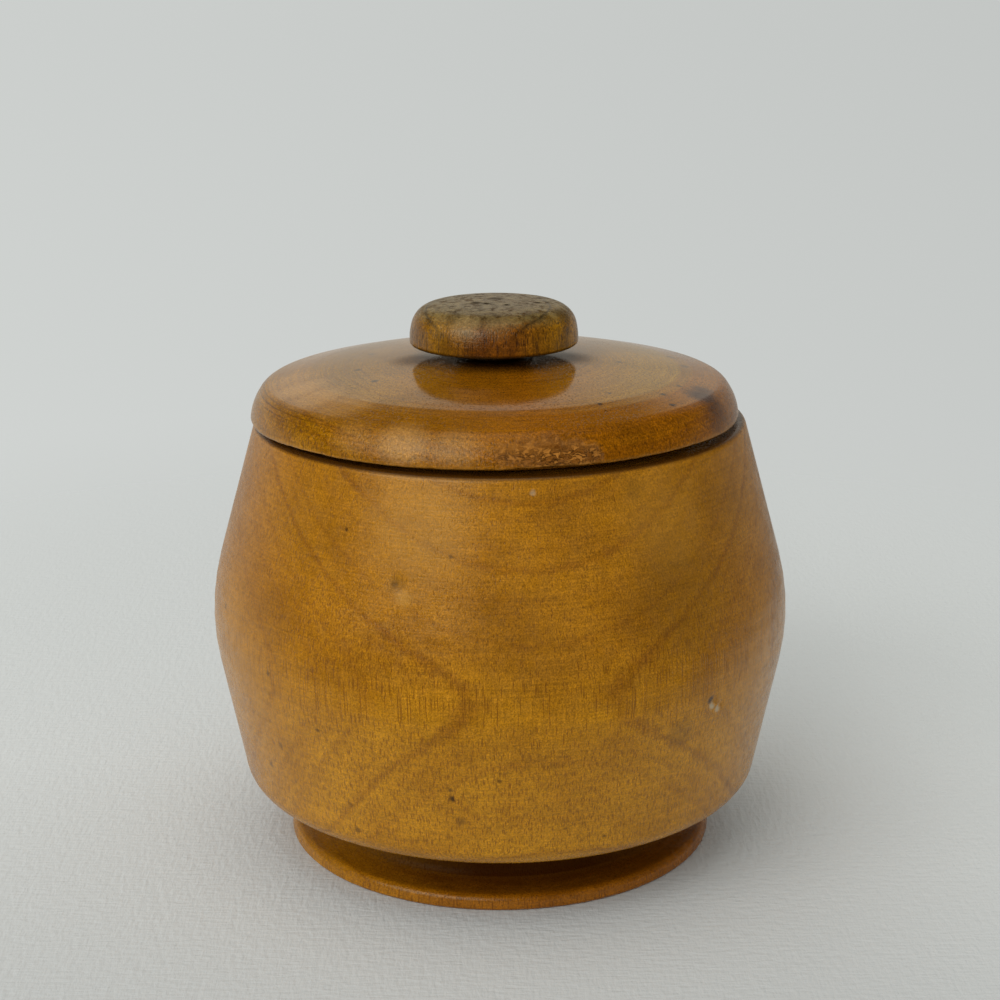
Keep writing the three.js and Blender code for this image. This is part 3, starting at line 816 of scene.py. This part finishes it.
# %% Knob material: tones of the wood
tree = new_material("handled hardwood with worn varnish", knob)
place = own_place(tree, knob_seat)
growth = from_pith(tree, place, offset=(1.1, 4.4, 0), tilt=(0.02, 0.01, 0), uneven=0.8)
KNOB_RINGS = [(5.0, 0.3, 0.6), (9.0, 0.4, 0.5), (12.95, 0.3, 0.4), (17.0, 0.4, 0.5), (21.0, 0.5, 0.6)]
knob_tones = {"deep": linear("#683C04"), "pale": linear("#986208"), "line": linear("#3C2006"),
              "pore": linear("#40240A")}
colour, pores, relief = bare_wood(tree, place, growth, KNOB_RINGS, knob_tones,
                                  shares=(0.4, 0.7, 0.85), richer=0.9, pore_size=(0.46, 0.32))
aside = add(tree, "SeparateXYZ", {0: place}, "X")
from_middle = add(tree, "Math", {0: add(tree, "Math", {0: aside, 1: 1.0}, operation="SUBTRACT")},
                  operation="ABSOLUTE")
tint = add(tree, "MapRange", {0: from_middle, 1: 3, 2: 12})
tint = add(tree, "Mix", {0: tint, 6: (0.74, 0.58, 1, 1), 7: (1.12, 1.25, 1, 1)}, 2, data_type="RGBA")
colour = add(tree, "VectorMath", {0: colour, 1: tint}, operation="MULTIPLY")

# %% [markdown]
# The varnish is worn off the crown in spots, and skin grease and dust have turned the end grain there
# grey-brown and matt. One dark ring crosses the crown's edge.

# %% The knob's crown
across = end_grain(tree, start=0.35, full=0.95)
handled = add(tree, "TexNoise", {"Vector": place, "Scale": 0.6, "Detail": 4.0, "Roughness": 0.7})
handled = add(tree, "MapRange", {0: handled, 1: 0.35, 2: 0.65})
crown = add(tree, "Mix", {0: handled, 6: linear("#32280C"), 7: linear("#8A7744")}, 2, data_type="RGBA")
crown = add(tree, "Mix", {0: 0.72, 6: colour, 7: crown}, 2, data_type="RGBA")
colour = add(tree, "Mix", {0: across, 6: colour, 7: crown}, 2, data_type="RGBA")
level = add(tree, "SeparateXYZ", {0: place}, "Z")
upwards = add(tree, "MapRange", {0: level, 1: 5.0, 2: 7.5, 3: 0.25, 4: 0.85})
one_ring = ring_lines(tree, growth[1], [(12.95, 1.0, 0.6)])
one_ring = add(tree, "Math", {0: one_ring, 1: upwards}, operation="MULTIPLY")
colour = add(tree, "Mix", {0: one_ring, 6: colour, 7: linear("#1E1206")}, 2, data_type="RGBA")

# %% Marks on the knob, and its varnish
# Paler marks on the front-left shoulder: partly worn varnish, partly a painted highlight where the window
# shines.
wear_and_painted_highlight = marks(tree, place, [((-6.0, -14.6, 8.6), 4.6, 0.26), ((-10.5, -12.0, 8.6), 4.0, 0.15),
                                  ((1.0, -15.8, 8.6), 4.0, 0.12)])
colour = add(tree, "Mix", {0: wear_and_painted_highlight, 6: colour, 7: linear("#B8965E")}, 2, data_type="RGBA")
pitted = add(tree, "TexNoise", {"Vector": place, "Scale": 1.9, "Detail": 3.0, "Roughness": 0.8})
grainy = add(tree, "MapRange", {0: pitted, 1: 0.32, 2: 0.68, 3: 0.64, 4: 1.36})
colour = add(tree, "VectorMath", {0: colour, "Scale": grainy}, operation="SCALE")
dirt = marks(tree, place, [((-3.6, -2.0, 10.8), 1.8, 0.8), ((-1.5, -3.0, 10.8), 1.3, 0.9),
                           ((2.6, -4.4, 10.8), 1.0, 1.0), ((0.4, 2.5, 10.8), 2.6, 0.6),
                           ((9.0, -1.5, 10.6), 1.4, 0.8), ((14.0, -7.0, 9.8), 3.6, 0.4),
                           ((-15.5, -5.5, 9.6), 1.2, 0.6), ((0.0, -13.5, 10.0), 3.5, 0.3),
                           ((-8.0, -12.0, 10.0), 3.5, 0.3), ((8.0, -12.0, 10.0), 3.5, 0.3)])
colour = add(tree, "Mix", {0: dirt, 6: colour, 7: linear("#20140A")}, 2, data_type="RGBA")
# Painted shade: the knob's underside, below its lip, is painted nearly black.
below = add(tree, "MapRange", {0: level, 1: 2.9, 2: 2.2, 3: 0.0, 4: 0.9})
colour = add(tree, "Mix", {0: below, 6: colour, 7: linear("#1C0E04")}, 2, data_type="RGBA")

gloss = add(tree, "MapRange", {0: across, 3: 0.2, 4: 0.32})
height = add(tree, "Math", {0: pitted, 1: relief}, operation="ADD")
height = add(tree, "Math", {0: pores, 1: -0.6, 2: height}, operation="MULTIPLY_ADD")
matt = add(tree, "Math", {0: across, 1: 0.7}, operation="MULTIPLY")
matt = add(tree, "MapRange", {0: handled, 1: 0.55, 2: 0.0, 3: 0.0, 4: matt})
matt = add(tree, "Math", {0: dirt, 1: matt}, operation="MAXIMUM")
varnish(tree, colour, gloss, height, relief=0.6, shine=0.5, worn=matt)

# %% [markdown]
# ## Bare wood
# Where no hand or brush reached, in the hollow and under the lid and the foot, the wood was left
# without varnish. It is paler, dry and matt, and shows when the lid is lifted.

# %% Bare wood inside and underneath
tree = new_material("dry unvarnished hardwood", jar, lid)
place = own_place(tree, Matrix.Identity(4))
growth = from_pith(tree, place, **JAR_PITH)
dry_tones = {"deep": linear("#A67C42"), "pale": linear("#BC9456"), "line": linear("#7A5226"),
             "pore": linear("#6A4420")}
colour, pores, relief = bare_wood(tree, place, growth, JAR_RINGS, dry_tones,
                                  shares=(0.25, 0.6, 0.7), richer=0.5)
height = add(tree, "Math", {0: pores, 1: -1.0, 2: relief}, operation="MULTIPLY_ADD")
surface = add(tree, "Bump", {"Height": height, "Strength": 0.7, "Distance": RELIEF_DEPTH})
shader = add(tree, "BsdfPrincipled", {"Base Color": colour, "Roughness": 0.78, "IOR": 1.5, "Normal": surface})
add(tree, "OutputMaterial", {"Surface": shader})

# %% Give the bare wood its faces
def leave_bare(piece, columns, first, last):
    """Gives the second material to the rows of faces between two points of the outline."""
    for face in list(piece.data.polygons)[first * columns:last * columns]:
        face.material_index = 1


in_recess = (jar_varnished[:, 1] < RECESS_HEIGHT + 0.01) & (jar_varnished[:, 0] < RECESS_RADIUS + 0.05)
under_foot = int(np.sum(in_recess))
leave_bare(jar, len(jar_angles), 0, under_foot - 1)
leave_bare(jar, len(jar_angles), len(jar_varnished) - 2, len(jar_outline) - 3)
leave_bare(lid, len(lid_angles), 0, len(lid_unvarnished) - 2)
for piece in jar, lid:
    bare = sum(face.material_index for face in piece.data.polygons)
    print(piece.name, "has", bare, "bare faces of", len(piece.data.polygons))

# %% [markdown]
# ## Stage and light
# A pale table fades into a pale room, so there is no horizon. The room is bright behind the jar and dim
# in front of it, where the viewer stands. That is what leaves the front of the varnish deep and clear,
# and lays the veil on the lid and along both sides.

# %% Table
STAGE_RADIUS, EDGE_POINTS = 1.0, 96
table_mesh = bpy.data.meshes.new("table top")
turns = [math.tau * k / EDGE_POINTS for k in range(EDGE_POINTS)]
edge = [(STAGE_RADIUS * math.cos(turn), STAGE_RADIUS * math.sin(turn), 0) for turn in turns]
slices = [(0, k + 1, (k + 1) % EDGE_POINTS + 1) for k in range(EDGE_POINTS)]
table_mesh.from_pydata([(0, 0, 0)] + edge, [], slices)
table = bpy.data.objects.new("table top", table_mesh)
bpy.context.scene.collection.objects.link(table)
print("table:", 2 * STAGE_RADIUS, "m across")

# %% [markdown]
# The table's matt paint has ridges along it and across it, about 1 mm wide and 4 mm long. Painted shade
# makes it dimmer towards the viewer, and painted light a little brighter at the right. It fades out into
# the room. What the varnish mirrors of it ends about 10 cm in front of the jar's axis, because the light on
# the viewer's side is low.

# %% Table paint
TABLE_COLOUR = linear("#D8D9D7")
tree = new_material("pale matt table", table)
spot = add(tree, "TexCoord", out="Object")
weave = 0.0
for threads in (900, 260, 0), (260, 900, 0):
    stretched = add(tree, "VectorMath", {0: spot, 1: threads}, operation="MULTIPLY")
    ridges = add(tree, "TexNoise", {"Vector": stretched, "Scale": 1.0, "Detail": 3.0})
    weave = add(tree, "Math", {0: ridges, 1: weave}, operation="ADD")
table_bump = add(tree, "Bump", {"Height": weave, "Strength": 0.5, "Distance": 0.5 * MM})
depth = add(tree, "SeparateXYZ", {0: spot}, "Y")
# Painted shade towards the viewer and painted light at the right.
painted_light_and_shade = add(tree, "MapRange", {0: depth, 1: -0.09, 2: 0.03, 3: 0.82, 4: 1.0})
painted_light_at_right = add(tree, "SeparateXYZ", {0: spot}, "X")
painted_light_at_right = add(tree, "MapRange", {0: painted_light_at_right, 1: 0.06, 2: 0.1, 3: 1.0, 4: 1.055})
painted_light_and_shade = add(tree, "Math", {0: painted_light_and_shade, 1: painted_light_at_right}, operation="MULTIPLY")
paper = add(tree, "VectorMath", {0: TABLE_COLOUR[:3], "Scale": painted_light_and_shade}, operation="SCALE")
matt = add(tree, "BsdfDiffuse", {"Color": paper, "Normal": table_bump})
clear = add(tree, "BsdfTransparent", {"Color": (1, 1, 1, 1)})
away = add(tree, "VectorMath", {0: spot}, 1, operation="LENGTH")
fade = add(tree, "MapRange", {0: away, 1: 0.14, 2: 0.4}, interpolation_type="SMOOTHSTEP")
from_back = add(tree, "VectorMath", {0: spot, 1: (0, 0.25, 0)}, 1, operation="DISTANCE")
front = add(tree, "MapRange", {0: from_back, 1: 0.32, 2: 0.39}, interpolation_type="SMOOTHSTEP")
mirrored = add(tree, "LightPath", out="Is Glossy Ray")
front = add(tree, "Math", {0: front, 1: mirrored}, operation="MULTIPLY")
fade = add(tree, "Math", {0: fade, 1: front}, operation="MAXIMUM")
add(tree, "OutputMaterial", {"Surface": add(tree, "MixShader", {0: fade, 1: matt, 2: clear})})

# %% [markdown]
# The room answers each kind of ray on its own. Rays that the varnish mirrors meet a bright wall behind the
# jar, up to about 35 degrees high and dimmer at the right, and almost nothing above it or in front. All
# other light comes from all round, a little stronger from the left. The camera sees a plain wall that is
# brighter at its foot and a little darker to the right.

# %% Room: what the varnish mirrors
world = bpy.data.worlds.new("pale room")
bpy.context.scene.world = world
world.use_nodes = True
tree = world.node_tree
tree.nodes.clear()
direction = add(tree, "TexCoord", out="Generated")
to_back = add(tree, "SeparateXYZ", {0: direction}, "Y")
to_right = add(tree, "SeparateXYZ", {0: direction}, "X")
upwards = add(tree, "SeparateXYZ", {0: direction}, "Z")
behind = add(tree, "MapRange", {0: to_back, 1: -0.15, 2: 0.25, 3: 0.05, 4: 1.0},
             interpolation_type="SMOOTHSTEP")
apart = add(tree, "Math", {0: to_right}, operation="ABSOLUTE")
top_edge = add(tree, "Math", {0: apart, 1: 0.6, 2: upwards}, operation="MULTIPLY_ADD")
below_top = add(tree, "ValToRGB", {"Fac": top_edge},
                stops=[(0.3, 0.8), (0.4, 1.0), (0.55, 1.0), (0.63, 0.03)])
sideways = add(tree, "MapRange", {0: to_right, 1: -1.0, 2: 1.0})
from_left = add(tree, "ValToRGB", {"Fac": sideways}, stops=[(0.0, 0.8), (0.5, 0.9), (0.75, 0.5), (1.0, 0.35)])
bright = add(tree, "Math", {0: behind, 1: below_top}, operation="MULTIPLY")
bright = add(tree, "Math", {0: bright, 1: from_left}, operation="MULTIPLY")
room = add(tree, "VectorMath", {0: linear("#E0DCD2")[:3], "Scale": bright}, operation="SCALE")

# %% Room: what lights the jar, and what the camera sees
WALL_COLOUR = linear("#C8CBC9")
all_round = add(tree, "MapRange", {0: to_right, 1: -1.0, 2: 1.0, 3: 1.14, 4: 0.9})
all_round = add(tree, "VectorMath", {0: WALL_COLOUR[:3], "Scale": all_round}, operation="SCALE")
mirrored = add(tree, "LightPath", out="Is Glossy Ray")
light = add(tree, "Mix", {0: mirrored, 6: all_round, 7: room}, 2, data_type="RGBA")
wall_side = add(tree, "MapRange", {0: to_right, 1: -0.25, 2: 0.25, 3: 1.045, 4: 0.95})
wall_foot = add(tree, "MapRange", {0: upwards, 1: -0.3, 2: -0.05, 3: 1.06, 4: 1.0})
wall = add(tree, "Math", {0: wall_side, 1: wall_foot}, operation="MULTIPLY")
wall = add(tree, "VectorMath", {0: WALL_COLOUR[:3], "Scale": wall}, operation="SCALE")
seen = add(tree, "LightPath", out="Is Camera Ray")
light = add(tree, "Mix", {0: seen, 6: light, 7: wall}, 2, data_type="RGBA")
add(tree, "OutputWorld", {"Surface": add(tree, "Background", {"Color": light, "Strength": 1.0})})
print("room:", len(tree.nodes), "nodes")

# %% Lamps
def soft_lamp(name, azimuth, elevation, distance, width, height, power):
    """An area lamp that faces the jar from an azimuth and an elevation in degrees."""
    a, e = math.radians(azimuth), math.radians(elevation)
    lamp = bpy.data.objects.new(name, bpy.data.lights.new(name, "AREA"))
    lamp.data.shape = "RECTANGLE"
    lamp.data.size, lamp.data.size_y = width, height
    lamp.data.energy = power
    towards = Vector((math.sin(a) * math.cos(e), -math.cos(a) * math.cos(e), math.sin(e)))
    lamp.location = Vector((0, 0, 0.06)) + towards * distance
    lamp.rotation_mode = "QUATERNION"
    lamp.rotation_quaternion = towards.to_track_quat("Z", "Y")
    bpy.context.scene.collection.objects.link(lamp)
    print(name, "at", [round(v, 2) for v in lamp.location])


soft_lamp("overhead lamp", azimuth=-50, elevation=75, distance=1.2, width=1.1, height=1.1, power=2.5)
soft_lamp("window", azimuth=-38, elevation=32, distance=1.3, width=1.1, height=0.7, power=6.5)
